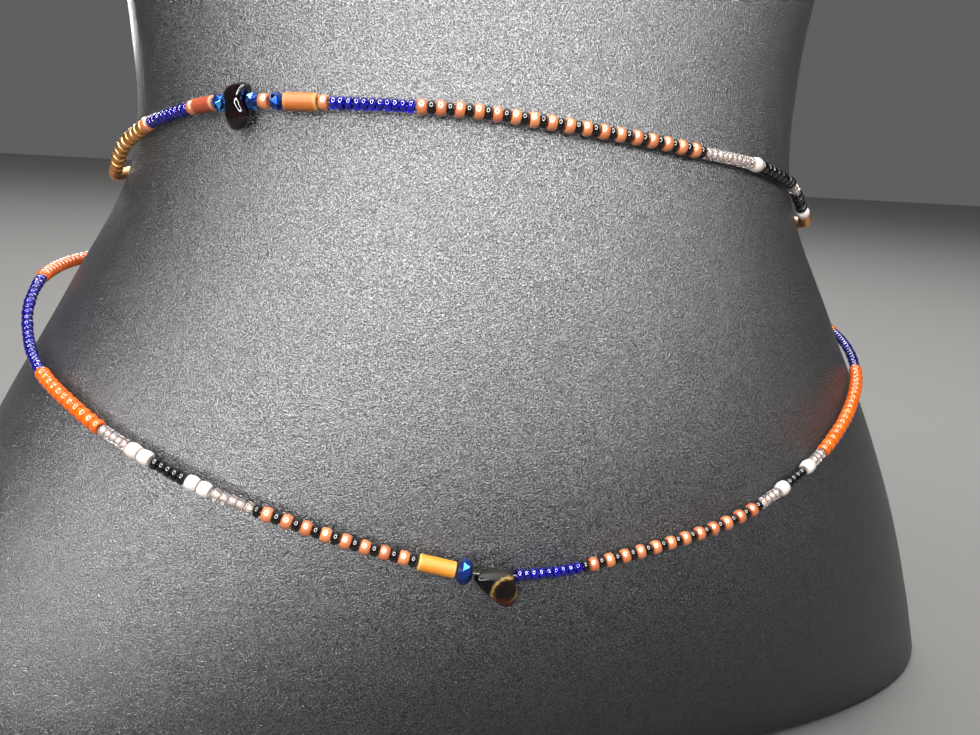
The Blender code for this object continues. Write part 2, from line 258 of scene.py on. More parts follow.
LOWER_ROUTE = (
    (20, 146, 3.2), (50, 151, 1.6), (90, 154, 0.5), (125, 154, 2.6), (150, 153.2, 4.6),
    (168, 152, 5.8), (180, 151.6, 5.6), (186.5, 150.2, 5.5), (189.4, 146.6, 5.1),
    (191.5, 142.6, 4.2), (193.3, 138.6, 2.6), (195.7, 135, 1.1), (198.8, 132, 0.1),
    (203, 129.6, 0.0), (209.5, 125.3, 0.0), (214.7, 120.9, 0.0), (221.7, 115, 0.2),
    (228.8, 108.7, 0.2), (234, 104.7, 0.0), (240, 100.6, 0.0), (246, 96.5, 0.0), (252, 93, 0.1),
    (257.5, 90.5, 0.9), (262.5, 88.8, 2.1), (267, 87.3, 1.6), (272, 86.6, 0.4), (277, 86.9, 0.0),
    (283, 88.8, 0.0), (291.5, 92.1, 0.0), (301, 96.2, 0.0), (307, 100.2, 0.0), (311.3, 104.6, 0.1),
    (316, 109.6, 0.1), (320, 113.8, 0.0), (325, 119.5, 0.0), (331.5, 126.3, 0.0),
    (338.5, 131.8, 0.0), (345, 135.9, 0.4), (356, 139.5, 2.0),
)


def share(point):
    """1 on the skin, less inside it and more outside."""
    y = point.y - section(point.z)[3]
    return math.hypot(point.x, y) / skin_radius(math.atan2(y, point.x), point.z)


def skin_normal(point):
    """The outward direction at a point, and how fast share() grows that way."""
    step = 0.2 * MM
    slope = Vector([
        (share(point + offset) - share(point - offset)) / (2 * step)
        for offset in (Vector((step, 0, 0)), Vector((0, step, 0)), Vector((0, 0, step)))
    ])
    return slope.normalized(), slope.length


def route_point(angle, height, clearance):
    """The point at this angle and height that stands this far off the skin."""
    centre = section(height)[3]
    reach = skin_radius(angle, height) + clearance
    for _ in range(SETTLING):
        point = Vector((reach * math.cos(angle), centre + reach * math.sin(angle), height))
        reach += clearance - (share(point) - 1) / skin_normal(point)[1]
    return point


class Strand:
    """A closed course over the form, measured along its own length."""

    def __init__(self, rows):
        self.first = rows[0][0]
        lap = []
        for step in range(ROUTE_STEPS):
            angle = self.first + 360 * step / ROUTE_STEPS
            height, stand_off = smooth(rows, angle, 360)
            clearance = THREAD_HEIGHT + max(stand_off, 0) * MM
            lap.append(route_point(math.radians(angle), height * MM, clearance))
        # Two turns, because the last runs pass the angle where the first one starts
        self.points = lap + lap + lap[:1]
        self.reached = [0.0]
        for a, b in zip(self.points, self.points[1:]):
            self.reached.append(self.reached[-1] + (b - a).length)
        self.length = self.reached[ROUTE_STEPS]

    def along(self, angle):
        """Distance along the course at an angle."""
        steps = (angle - self.first) % 720 / 360 * ROUTE_STEPS
        i = min(int(steps), 2 * ROUTE_STEPS - 1)
        return self.reached[i] + (steps - i) * (self.reached[i + 1] - self.reached[i])

    def at(self, distance):
        """The course's point at a distance along it."""
        distance %= self.length
        low, high = 0, len(self.reached) - 1
        while high - low > 1:
            middle = (low + high) // 2
            if self.reached[middle] <= distance:
                low = middle
            else:
                high = middle
        t = (distance - self.reached[low]) / (self.reached[high] - self.reached[low])
        return self.points[low].lerp(self.points[high], t)

    def placing(self, distance):
        """The matrix that puts a bead there: X along the strand, Y up the skin, Z out of it."""
        point = self.at(distance)
        along = (self.at(distance + MM) - self.at(distance - MM)).normalized()
        up = skin_normal(point)[0].cross(along).normalized()
        turn = Matrix((along, up, along.cross(up))).transposed()
        return Matrix.Translation(point) @ turn.to_4x4()


upper = Strand(UPPER_ROUTE)
lower = Strand(LOWER_ROUTE)


# The beading thread of each strand: one closed length of waxed nylon that runs through every
# bead and shows only as a glint where two beads part.
THREAD_RADIUS = 0.14 * MM
THREAD_STEP = 1.5 * MM
THREAD_ROUND = 8
FIBRE_SIZE = 0.25 * MM

# Waxed nylon: a dull off-white cord with a soft sheen from the wax and a fine uneven twist.
thread_nylon, shader = new_material("thread_waxed_nylon")
place = add_node(thread_nylon, "ShaderNodeTexCoord").outputs["Object"]
fibre = add_node(thread_nylon, "ShaderNodeTexNoise", {}, {"Vector": place, "Scale": 1 / FIBRE_SIZE})
twist = add_node(thread_nylon, "ShaderNodeBump", {},
                 {"Height": fibre.outputs["Fac"], "Strength": 0.4, "Distance": 0.05 * MM})
finish_shader(thread_nylon, shader, {
    "Base Color": linear("#8C867E"), "Roughness": 0.45, "Normal": twist.outputs["Normal"]})

for name, strand in (("upper_thread", upper), ("lower_thread", lower)):
    count = round(strand.length / THREAD_STEP)
    cord = bmesh.new()
    loops = []
    for i in range(count):
        turned = strand.placing(strand.length * i / count) @ Matrix.Rotation(math.pi / 2, 4, "Y")
        ring = bmesh.ops.create_circle(cord, segments=THREAD_ROUND, radius=THREAD_RADIUS,
                                       matrix=turned)["verts"]
        loops.append(ring)
    for near, far in zip(loops, loops[1:] + loops[:1]):
        for i in range(THREAD_ROUND):
            j = (i + 1) % THREAD_ROUND
            cord.faces.new((near[i], near[j], far[j], far[i]))
    bmesh.ops.recalc_face_normals(cord, faces=cord.faces)
    for face in cord.faces:
        face.smooth = True
    add_piece(name, cord, [thread_nylon], "clear_glass")


# The seed beads: rings cut from drawn glass tube and tumbled round. Sizes 5/0 and 7/0 are strung
# in runs by colour. No two are quite alike, so each copy differs a little in size and tilt.
HOLE_SHARE = 0.3                # radius of the hole as a share of the bead's
HOLE_WALL = 1.3                 # faces within this many hole radii belong to the hole's wall
PROFILE_POINTS = 7
BEAD_ROUND = 12
BEAD_FILL = 0.985               # a bead's length as a share of its pitch
SEAM_GAP = 0.3 * MM             # between one run and the next
random.seed(7)

# Kinds of bead: radius and length in mm, squareness of the section, spread of size and of tilt
SEED_KINDS = {
    "peach": (2.2, 2.95, 2.3, 0.025, 2.5),
    "gold": (2.2, 3.0, 2.3, 0.03, 3.0),
    "orange": (2.25, 2.9, 2.4, 0.02, 2.5),
    "white": (2.3, 3.8, 2.2, 0.02, 2.0),
    "black": (1.85, 2.15, 2.5, 0.03, 3.0),
    "blue": (1.85, 2.15, 2.6, 0.05, 6.0),
    "clear": (1.9, 2.1, 2.7, 0.03, 4.0),
    "jet": (2.0, 2.7, 2.4, 0.03, 4.0),
}


def seed_bead(kind):
    """One bead about X, spun from its rounded section, with its hole."""
    radius, length, squareness, _, _ = SEED_KINDS[kind]
    hole = radius * HOLE_SHARE
    bead = bmesh.new()
    bmesh.ops.create_circle(bead, segments=PROFILE_POINTS, radius=1.0)
    for vert in bead.verts:
        x, y = [math.copysign(abs(part) ** (2 / squareness), part) for part in vert.co.xy]
        vert.co = (x * length / 2, (radius + hole) / 2 + y * (radius - hole) / 2, 0)
    bmesh.ops.spin(bead, geom=bead.verts[:] + bead.edges[:], axis=(1, 0, 0), cent=(0, 0, 0),
                   angle=2 * math.pi, steps=BEAD_ROUND, use_merge=True)
    bmesh.ops.scale(bead, vec=(MM, MM, MM), verts=bead.verts)
    bmesh.ops.recalc_face_normals(bead, faces=bead.faces)
    for face in bead.faces:
        face.smooth = True
        inner = math.hypot(*face.calc_center_median().yz) < HOLE_WALL * hole * MM
        face.material_index = 1 if inner else 0
    mesh = bpy.data.meshes.new(kind + "_bead")
    bead.to_mesh(mesh)
    bead.free()
    return mesh


def glass_colour(material, low, high):
    """A colour between two hex shades that differs from bead to bead."""
    tint = add_node(material, "ShaderNodeAttribute", {"attribute_name": "bead"})
    ramp = add_node(material, "ShaderNodeValToRGB", {}, {"Fac": tint.outputs["Fac"]})
    ramp.color_ramp.elements[0].color = linear(low)
    ramp.color_ramp.elements[1].color = linear(high)
    return ramp.outputs["Color"]


def pitting(material, size, depth):
    """Fine unevenness of tumbled glass: pits of this size and depth in millimetres."""
    place = add_node(material, "ShaderNodeTexCoord").outputs["Object"]
    pits = add_node(material, "ShaderNodeTexNoise", {},
                    {"Vector": place, "Scale": 1 / (size * MM), "Detail": 2.0})
    bump = add_node(material, "ShaderNodeBump", {},
                    {"Height": pits.outputs["Fac"], "Strength": 0.5, "Distance": depth * MM})
    return bump.outputs["Normal"]


# Each glass has its own finish. Copper-pearl: peach glass under a fired metallic lustre, which
# spreads a broad cream sheen around the sharp glint of the glass.
glass = {}
glass["peach"], shader = new_material("glass_copper_pearl_lustre")
finish_shader(glass["peach"], shader, {
    "Base Color": glass_colour(glass["peach"], "#A05024", "#B06636"), "Roughness": 0.12,
    "IOR": 1.5, "Coat Weight": 1.0, "Coat Roughness": 0.38, "Coat IOR": 1.9,
    "Normal": pitting(glass["peach"], 0.4, 0.04)})

# Gold: a thin metal plating over glass, warm and bright, with dark gaps between the beads.
glass["gold"], shader = new_material("glass_gold_plated")
finish_shader(glass["gold"], shader, {
    "Base Color": glass_colour(glass["gold"], "#DC9448", "#F4C284"), "Metallic": 1.0,
    "Roughness": 0.3, "Normal": pitting(glass["gold"], 0.7, 0.05)})

# Opaque orange: cadmium glass, glossy from the fire, with a small sharp glint.
glass["orange"], shader = new_material("glass_opaque_orange")
finish_shader(glass["orange"], shader, {
    "Base Color": glass_colour(glass["orange"], "#BA4A00", "#C65400"), "Roughness": 0.05,
    "IOR": 1.55, "Coat Weight": 0.5, "Coat Roughness": 0.03,
    "Normal": pitting(glass["orange"], 0.8, 0.005)})

# Pearl white: opaque white glass with a soft sheen and a thin bright coat over it.
glass["white"], shader = new_material("glass_opaque_pearl_white")
finish_shader(glass["white"], shader, {
    "Base Color": glass_colour(glass["white"], "#BCB0A8", "#CABEB6"), "Roughness": 0.3,
    "Coat Weight": 0.6, "Coat Roughness": 0.06, "Normal": pitting(glass["white"], 0.8, 0.02)})

# Jet: glass so deep that it looks black, and shows the lamps as small bright rings.
glass["black"], shader = new_material("glass_jet_black")
finish_shader(glass["black"], shader, {
    "Base Color": glass_colour(glass["black"], "#020101", "#050303"), "Roughness": 0.02,
    "IOR": 1.52, "Coat Weight": 0.35, "Coat Roughness": 0.03,
    "Normal": pitting(glass["black"], 0.8, 0.01)})
glass["jet"] = glass["black"]

# Cobalt: clear deep blue glass that darkens towards its lower side. Its light from within is a
# painted glow: the wall of its hole is an opaque, brighter blue.
glass["blue"], shader = new_material("glass_cobalt_clear")
finish_shader(glass["blue"], shader, {
    "Base Color": glass_colour(glass["blue"], "#0A0284", "#1004A8"), "Roughness": 0.02,
    "Coat Weight": 0.4, "Coat Roughness": 0.03,
    "Transmission Weight": 0.75, "IOR": 1.55, "Normal": pitting(glass["blue"], 0.8, 0.004)})

# Crystal: clear glass with the faintest pink, around a silvered hole.
glass["clear"], shader = new_material("glass_crystal_clear")
finish_shader(glass["clear"], shader, {
    "Base Color": glass_colour(glass["clear"], "#F0E2DC", "#FFF6F2"), "Roughness": 0.02,
    "Transmission Weight": 0.93, "IOR": 1.55, "Normal": pitting(glass["clear"], 0.8, 0.01)})

# The walls of the holes: bright silvering inside the crystal, plain glass in the others except the
# cobalt, whose wall is an opaque brighter blue, a painted glow.
silvering, shader = new_material("silvering_in_the_hole")
finish_shader(silvering, shader, {
    "Base Color": linear("#E4D6CC"), "Metallic": 0.3, "Roughness": 0.3,
    "Normal": pitting(silvering, 0.3, 0.03)})
lining = dict(glass)
lining["clear"] = silvering
# Painted glow: an opaque brighter blue on the cobalt beads' hole walls stands in for light gathered
# inside the glass.
cobalt_painted_glow_wall, shader = new_material("glass_cobalt_hole_wall_painted_glow")
finish_shader(cobalt_painted_glow_wall, shader, {
    "Base Color": linear("#1A2CC8"), "Roughness": 0.3, "Normal": pitting(cobalt_painted_glow_wall, 0.3, 0.02)})
lining["blue"] = cobalt_painted_glow_wall
masters = {kind: seed_bead(kind) for kind in SEED_KINDS}


def string_run(name, slot, strand, kinds, repeats, start, end):
    """Thread a run of beads between two distances, joined into one piece."""
    kinds = list(kinds) * repeats
    palette = []
    for kind in kinds:
        for material in (glass[kind], lining[kind]):
            if material not in palette:
                palette.append(material)
    stretch = (end - start - SEAM_GAP) / MM / sum(SEED_KINDS[kind][1] for kind in kinds)
    run = bmesh.new()
    tint = run.verts.layers.float.new("bead")
    reached = start + SEAM_GAP / 2
    for kind in kinds:
        _, length, _, spread, tilt = SEED_KINDS[kind]
        length *= stretch * MM
        known = len(run.verts)
        faces_known = len(run.faces)
        run.from_mesh(masters[kind])
        run.verts.ensure_lookup_table()
        run.faces.ensure_lookup_table()
        added = run.verts[known:]
        swell = 1 - random.uniform(0, 2 * spread)
        shape = Matrix.Diagonal((stretch * BEAD_FILL, swell, swell, 1))
        turn = Matrix.Rotation(random.uniform(0, 2 * math.pi), 4, "X")
        lean_y = Matrix.Rotation(math.radians(random.gauss(0, tilt)), 4, "Y")
        lean_z = Matrix.Rotation(math.radians(random.gauss(0, tilt)), 4, "Z")
        seat = strand.placing(reached + length / 2)
        bmesh.ops.transform(run, matrix=seat @ lean_y @ lean_z @ turn @ shape, verts=added)
        value = random.random()
        for vert in added:
            vert[tint] = value
        slots = (palette.index(glass[kind]), palette.index(lining[kind]))
        for face in run.faces[faces_known:]:
            face.material_index = slots[face.material_index]
        reached += length
    add_piece(name + "_beads", run, palette, slot, name)


# The runs of each strand in order, as strung: name, kinds that repeat, times they repeat, angle
# around the form where the run ends, and the finish it takes.
UPPER_START = 205.3
UPPER_RUNS = (
    ("upper_peach_a", ("peach",), 1, 207.0, "peach_lustre"),
    ("upper_blue_a", ("blue",), 9, 216.9, "blue_glass"),
    ("upper_peach_b", ("peach",), 1, 218.3, "peach_lustre"),
    ("upper_tube_brown", "tube", 1, 222.0, "tube_brown"),
    ("upper_facet_a", "facet", 1, 223.8, "faceted_glass"),
    ("upper_chip", "chip", 1, 227.4, "stone_chip"),
    ("upper_facet_b", "facet", 1, 229.2, "faceted_glass"),
    ("upper_peach_c", ("peach",), 1, 230.8, "peach_lustre"),
    ("upper_facet_c", "facet", 1, 232.9, "faceted_glass"),
    ("upper_tube_orange", "tube", 1, 237.6, "tube_orange"),
    ("upper_peach_d", ("peach",), 1, 239.1, "peach_lustre"),
    ("upper_blue_b", ("blue",), 11, 251.5, "blue_glass"),
    ("upper_peach_black", ("peach", "black"), 17, 299.6, "peach_lustre"),
    ("upper_clear_a", ("clear",), 10, 310.4, "clear_glass"),
    ("upper_white_a", ("white",), 1, 312.6, "white_pearl"),
    ("upper_black_a", ("jet",), 8, 325.4, "black_glass"),
    ("upper_clear_b", ("clear",), 2, 328.0, "clear_glass"),
    ("upper_black_b", ("jet",), 4, 333.0, "black_glass"),
    ("upper_white_b", ("white",), 1, 335.0, "white_pearl"),
    ("upper_gold_back_a", ("gold",), 29, 380.0, "gold_metallic"),
    ("upper_gold_back_b", ("gold",), 28, 428.0, "gold_metallic"),
    ("upper_gold_back_c", ("gold",), 25, 479.0, "gold_metallic"),
    ("upper_gold_back_d", ("gold",), 31, 530.0, "gold_metallic"),
    ("upper_gold_side", ("gold",), 24, 565.3, "gold_metallic"),
)
LOWER_START = 185.3
LOWER_RUNS = (
    ("lower_blue_a", ("blue",), 22, 202.2, "blue_glass"),
    ("lower_orange_a", ("orange",), 11, 214.9, "orange_glass"),
    ("lower_clear_a", ("clear",), 5, 218.7, "clear_glass"),
    ("lower_white_a", ("white",), 2, 221.8, "white_pearl"),
    ("lower_black_a", ("black",), 5, 225.9, "black_glass"),
    ("lower_white_b", ("white",), 2, 228.9, "white_pearl"),
    ("lower_clear_b", ("clear",), 5, 233.7, "clear_glass"),
    ("lower_black_first", ("black",), 1, 234.6, "black_glass"),
    ("lower_peach_black_a", ("peach", "black"), 8, 254.8, "peach_lustre"),
    ("lower_tube_orange", "tube", 1, 260.3, "tube_orange"),
    ("lower_facet_a", "facet", 1, 262.8, "faceted_glass"),
    ("lower_chip", "chip", 1, 269.4, "stone_chip"),
    ("lower_blue_b", ("blue",), 9, 280.2, "blue_glass"),
    ("lower_black_second", ("black",), 1, 281.2, "black_glass"),
    ("lower_peach_black_b", ("peach", "black"), 12, 308.5, "peach_lustre"),
    ("lower_clear_c", ("clear",), 4, 311.3, "clear_glass"),
    ("lower_white_c", ("white",), 1, 312.9, "white_pearl"),
    ("lower_black_b", ("black",), 4, 316.0, "black_glass"),
    ("lower_white_d", ("white",), 1, 317.7, "white_pearl"),
    ("lower_clear_d", ("clear",), 3, 319.9, "clear_glass"),
    ("lower_orange_b", ("orange",), 18, 339.0, "orange_glass"),
    ("lower_blue_c", ("blue",), 15, 352.0, "blue_glass"),
    ("lower_orange_back_a", ("orange",), 35, 398.0, "orange_glass"),
    ("lower_orange_back_b", ("orange",), 28, 444.0, "orange_glass"),
    ("lower_orange_back_c", ("orange",), 28, 494.0, "orange_glass"),
    ("lower_orange_back_d", ("orange",), 38, 545.3, "orange_glass"),
)
stations = {}
for strand, first, runs in ((upper, UPPER_START, UPPER_RUNS), (lower, LOWER_START, LOWER_RUNS)):
    start = strand.along(first)
    for name, kinds, repeats, last, slot in runs:
        end = strand.along(last)
        if end < start:
            end += strand.length
        if isinstance(kinds, tuple):
            string_run(name, slot, strand, kinds, repeats, start, end)
        else:
            stations[name] = (strand, start, end)
        start = end


# The tube beads: short lengths of bone tube, dyed and left matt, with the ends eased and the dye
# worn pale around them.
TUBE_HOLE = 0.8 * MM
TUBE_EDGE = 0.35 * MM
TUBE_EDGE_ROWS = 4
TUBE_CUTS = 12                  # cuts along a tube
TUBE_ROUND = 40
TUBE_WEAR = 0.45 * MM           # width of the pale rim at each end
STREAK_LENGTH = 8.0             # the bone's streaks, in mm
STREAK_WIDTH = 10 / 11


def dyed_bone(name, low, high, pale):
    """Bone dyed between two shades along its grain, paler around its cut ends."""
    material, shader = new_material(name)
    grain = add_node(material, "ShaderNodeAttribute", {"attribute_name": "grain"})
    streaks = add_node(material, "ShaderNodeTexNoise", {},
                       {"Vector": grain.outputs["Vector"], "Scale": 1 / STREAK_WIDTH, "Detail": 3.0})
    dye = add_node(material, "ShaderNodeValToRGB", {}, {"Fac": streaks.outputs["Fac"]})
    dye.color_ramp.elements[0].color = linear(low)
    dye.color_ramp.elements[1].color = linear(high)
    dye.color_ramp.elements[0].position = 0.35
    dye.color_ramp.elements[1].position = 0.65
    ends = add_node(material, "ShaderNodeAttribute", {"attribute_name": "wear"})
    worn = add_node(material, "ShaderNodeMixRGB", {},
                    {"Fac": ends.outputs["Fac"], "Color1": dye.outputs["Color"],
                     "Color2": linear(pale)})
    bump = add_node(material, "ShaderNodeBump", {},
                    {"Height": streaks.outputs["Fac"], "Strength": 0.3, "Distance": 0.04 * MM})
    finish_shader(material, shader, {
        "Base Color": worn.outputs["Color"], "Roughness": 0.55, "Normal": bump.outputs["Normal"]})
    return material


TUBES = {                       # radius in mm and the two dye shades and worn shade
    "upper_tube_brown": (2.05, "bone_dyed_red_brown", "#762A10", "#823414", "#A87654"),
    "upper_tube_orange": (2.3, "bone_dyed_amber", "#8E4A10", "#985216", "#B88850"),
    "lower_tube_orange": (2.3, "bone_dyed_yellow_amber", "#B46C14", "#BC761C", "#CC9E5C"),
}
for name, (radius, finish, low, high, pale) in TUBES.items():
    strand, start, end = stations[name]
    half = (end - start - SEAM_GAP) / 2
    radius *= MM
    tube = bmesh.new()
    corners = ((-half, TUBE_HOLE), (half, TUBE_HOLE), (half, radius), (-half, radius))
    outline = [tube.verts.new((x, y, 0)) for x, y in corners]
    tube.faces.new(outline)
    bmesh.ops.bevel(tube, geom=tube.verts[:], affect="VERTICES", offset=TUBE_EDGE,
                    segments=TUBE_EDGE_ROWS, profile=0.5, material=-1)
    bmesh.ops.delete(tube, geom=tube.faces[:], context="FACES_ONLY")
    long_edges = [edge for edge in tube.edges if edge.calc_length() > half]
    bmesh.ops.subdivide_edges(tube, edges=long_edges, cuts=TUBE_CUTS)
    bmesh.ops.spin(tube, geom=tube.verts[:] + tube.edges[:], axis=(1, 0, 0), cent=(0, 0, 0),
                   angle=2 * math.pi, steps=TUBE_ROUND, use_merge=True)
    bmesh.ops.recalc_face_normals(tube, faces=tube.faces)
    tube.verts.layers.float.new("wear")
    tube.verts.layers.float_vector.new("grain")
    wear = tube.verts.layers.float["wear"]
    grain = tube.verts.layers.float_vector["grain"]
    for vert in tube.verts:
        vert[grain] = (vert.co.x / (STREAK_LENGTH * MM), vert.co.y / MM, vert.co.z / MM)
        vert[wear] = min(max((abs(vert.co.x) - half + TUBE_WEAR) / TUBE_WEAR, 0.0), 1.0)
    for face in tube.faces:
        face.smooth = True
    bmesh.ops.transform(tube, matrix=strand.placing((start + end) / 2), verts=tube.verts)
    slot = "tube_brown" if name.endswith("brown") else "tube_orange"
    add_piece(name + "_bead", tube, [dyed_bone(finish, low, high, pale)], slot, name)


# The faceted beads: fire-polished glass with a metallic blue coating, a large one by the lower
# chip and three small ones by the upper. Rows of flat facets wrap each bead, and each facet is
# painted its own shade of blue at random, a painted reflection of the light it would catch.
# The last column sets how far a bead's painted facet tones reach towards azure.
FACETS = {                      # radius in mm, facets around, and how bright the coating is
    "upper_facet_a": (2.35, 7, 1.0), "upper_facet_b": (2.35, 7, 0.9), "upper_facet_c": (2.35, 7, 0.7),
    "lower_facet_a": (3.7, 9, 0.6),
}
FACET_EDGE = 0.04 * MM
# Rows of corners: place along the bead and distance from its axis, as shares of its half length
# and radius
FACET_ROWS = ((-1.0, 0.35), (-0.92, 0.6), (-0.4, 1.0), (0.4, 1.0), (0.92, 0.6), (1.0, 0.35))

# Fire-polished glass under a metallic blue coating. Each flat is painted one shade of its own, from
# navy to azure at random: a painted reflection, for the light each flat would mirror.
facet_glass, shader = new_material("glass_fire_polished_metallic_blue_painted_facet_reflections")
tint = add_node(facet_glass, "ShaderNodeAttribute", {"attribute_name": "facet"})
coat = add_node(facet_glass, "ShaderNodeValToRGB", {}, {"Fac": tint.outputs["Fac"]})
coat.color_ramp.elements[0].color = linear("#0C1440")
coat.color_ramp.elements[1].color = linear("#58B8FF")
deep = coat.color_ramp.elements.new(0.45)
deep.color = linear("#16348C")
azure = coat.color_ramp.elements.new(0.75)
azure.color = linear("#2470DC")
finish_shader(facet_glass, shader, {
    "Base Color": coat.outputs["Color"], "Metallic": 0.85, "Roughness": 0.18,
    "Coat Weight": 0.5, "Coat Roughness": 0.05})

for name, (radius, sides, brightness) in FACETS.items():
    strand, start, end = stations[name]
    half = (end - start - SEAM_GAP) / 2
    gem = bmesh.new()
    loops = []
    for row, (part, swell) in enumerate(FACET_ROWS):
        turn = Matrix.Rotation(math.pi / 2, 4, "Y")
        turn @= Matrix.Rotation(math.pi / sides * (row % 2), 4, "Z")
        place = Matrix.Translation((part * half, 0, 0)) @ turn
        made = bmesh.ops.create_circle(gem, segments=sides, radius=radius * swell * MM, matrix=place)
        loops.append(set(made["verts"]))
    for near, far in zip(loops, loops[1:]):
        ring = [edge for edge in gem.edges if set(edge.verts) <= near or set(edge.verts) <= far]
        bmesh.ops.bridge_loops(gem, edges=ring)
    bmesh.ops.holes_fill(gem, edges=[edge for edge in gem.edges if edge.is_boundary])
    bmesh.ops.triangulate(gem, faces=[face for face in gem.faces if len(face.verts) == 4])
    bmesh.ops.recalc_face_normals(gem, faces=gem.faces)
    bmesh.ops.bevel(gem, geom=gem.edges[:], affect="EDGES", offset=FACET_EDGE,
                    segments=1, profile=0.5, material=-1)
    # Painted reflection: each facet gets a random tone on the ramp, lighter or darker as if it
    # mirrored more or less of the lamps.
    shade = gem.faces.layers.float.new("facet")
    for face in gem.faces:
        face[shade] = random.random() * brightness
    spun = Matrix.Rotation(random.uniform(0, 2 * math.pi), 4, "X")
    bmesh.ops.transform(gem, matrix=strand.placing((start + end) / 2) @ spun, verts=gem.verts)
    add_piece(name + "_bead", gem, [facet_glass], "faceted_glass", name)


# The stone chips: pieces of dark smoky stone, tumbled smooth, drilled near the upper edge and
# polished. Thin edges let a dark red-brown light through, painted as dark red on the lower chip's
# thin lower edge. The lower one has a paler broken face, with a golden ridge around the hollow of
# the break, its gold a painted light along the ridge.
UPPER_CHIP = (                  # outline in mm from the drilled hole: along the strand, up the skin
    (3.1, 0.2), (3.9, 2.9), (4.8, 4.9), (1.0, 5.2), (-2.3, 4.3), (-3.5, 2.4), (-3.1, -0.5),
    (-2.5, -4.0), (-2.0, -6.6), (0.2, -8.3), (3.6, -6.8), (5.0, -3.7), (3.6, -1.6),
)
UPPER_CHIP_HALF = 2.9           # half its thickness, in mm
LOWER_CHIP = (
    (6.0, 0.0), (6.6, -2.2), (8.4, -4.2), (8.5, -8.4), (6.2, -10.4), (2.9, -8.6), (-0.3, -6.5),
    (-3.1, -4.5), (-5.0, -2.7), (-6.4, -1.2), (-4.8, 0.5), (-2.3, 1.5), (1.5, 2.1), (5.1, 2.0),
)
LOWER_CHIP_HALF = 2.8
# Rings of the rough shape: spread and height, as shares of the outline and the half thickness
CHIP_RINGS = ((0.42, -1.0), (0.84, -0.72), (1.0, 0.0), (0.84, 0.72), (0.42, 1.0))
BREAK_CENTRE = (3.6, -3.3, 2.0)     # middle of the broken hollow, in mm from the drilled hole
BREAK_RADIUS = 4.4
BREAK_WANDER = 2.2                  # how far the ridge wanders, in mm
BREAK_GRAIN = 10 / 11               # size of the roughness of the break, in mm
CLOUD_SIZE = 10 / 3                 # size of a red cloud in the stone, in mm
CHIP_ROUNDING = 3

# Smoky stone, tumbled and polished: nearly black, with a clear gloss and a few dark red clouds.
# The chips' own attribute holds each point's place in mm: along the strand, up the skin and out.
smoky, shader = new_material("stone_smoky_polished")
place = add_node(smoky, "ShaderNodeAttribute", {"attribute_name": "place"}).outputs["Vector"]
clouds = add_node(smoky, "ShaderNodeTexNoise", {},
                  {"Vector": place, "Scale": 1 / CLOUD_SIZE, "Detail": 4.0})
smoke = add_node(smoky, "ShaderNodeValToRGB", {}, {"Fac": clouds.outputs["Fac"]})
smoke.color_ramp.elements[0].color = linear("#030202")
smoke.color_ramp.elements[1].color = linear("#160605")
smoke.color_ramp.elements[0].position = 0.5
smoke.color_ramp.elements[1].position = 0.72
finish_shader(smoky, shader, {
    "Base Color": smoke.outputs["Color"], "Roughness": 0.05, "IOR": 1.54})

# The same stone where it broke: a dull dark olive face, a ridge with a golden band of painted
# light along it, a dark hollow inside it, and a painted dark red glow on the thin lower edge for
# the light through it.
# Each ramp below runs from the middle of the hollow outwards.
broken, shader = new_material("stone_smoky_break_with_painted_ridge_light")
place = add_node(broken, "ShaderNodeAttribute", {"attribute_name": "place"}).outputs["Vector"]
offset = add_node(broken, "ShaderNodeVectorMath", {"operation": "DISTANCE"},
                  {0: place, 1: BREAK_CENTRE})
rough = add_node(broken, "ShaderNodeTexNoise", {},
                 {"Vector": place, "Scale": 1 / BREAK_GRAIN, "Detail": 6.0, "Roughness": 0.72})
reach = add_node(broken, "ShaderNodeMath", {"operation": "MULTIPLY_ADD"},
                 {0: rough.outputs["Fac"], 1: BREAK_WANDER, 2: offset.outputs["Value"]})
span = add_node(broken, "ShaderNodeMapRange", {},
                {"Value": reach.outputs["Value"], "From Min": BREAK_WANDER / 2,
                 "From Max": BREAK_WANDER / 2 + 2 * BREAK_RADIUS})
zones = add_node(broken, "ShaderNodeValToRGB", {}, {"Fac": span.outputs["Result"]})
zones.color_ramp.elements[0].color = linear("#1C1814")
zones.color_ramp.elements[1].color = linear("#141310")
# Painted light: the bright golden band from 0.43 to 0.53 is light along the ridge, painted into the
# colour.
for position, shade in ((0.1, "#0C0806"), (0.38, "#140B06"), (0.43, "#4A3416"), (0.48, "#8E7440"),
                        (0.53, "#2A241A"), (0.58, "#1B1A15"), (0.8, "#181713")):
    zones.color_ramp.elements.new(position).color = linear(shade)
polish = add_node(broken, "ShaderNodeValToRGB", {}, {"Fac": span.outputs["Result"]})
polish.color_ramp.elements[0].color = (0.1, 0.1, 0.1, 1.0)
polish.color_ramp.elements[1].color = (0.4, 0.4, 0.4, 1.0)
for position, value in ((0.4, 0.12), (0.46, 0.25), (0.56, 0.55), (0.8, 0.5)):
    polish.color_ramp.elements.new(position).color = (value, value, value, 1.0)
ridge = add_node(broken, "ShaderNodeValToRGB", {}, {"Fac": span.outputs["Result"]})
ridge.color_ramp.interpolation = "B_SPLINE"
ridge.color_ramp.elements[0].color = (0.3, 0.3, 0.3, 1.0)
ridge.color_ramp.elements[1].color = (0.4, 0.4, 0.4, 1.0)
for position, value in ((0.36, 0.2), (0.46, 1.0), (0.56, 0.5)):
    ridge.color_ramp.elements.new(position).color = (value, value, value, 1.0)
lift = add_node(broken, "ShaderNodeBump", {},
                {"Height": ridge.outputs["Color"], "Strength": 0.7, "Distance": 0.9 * MM})
height = add_node(broken, "ShaderNodeSeparateXYZ", {}, {"Vector": place})
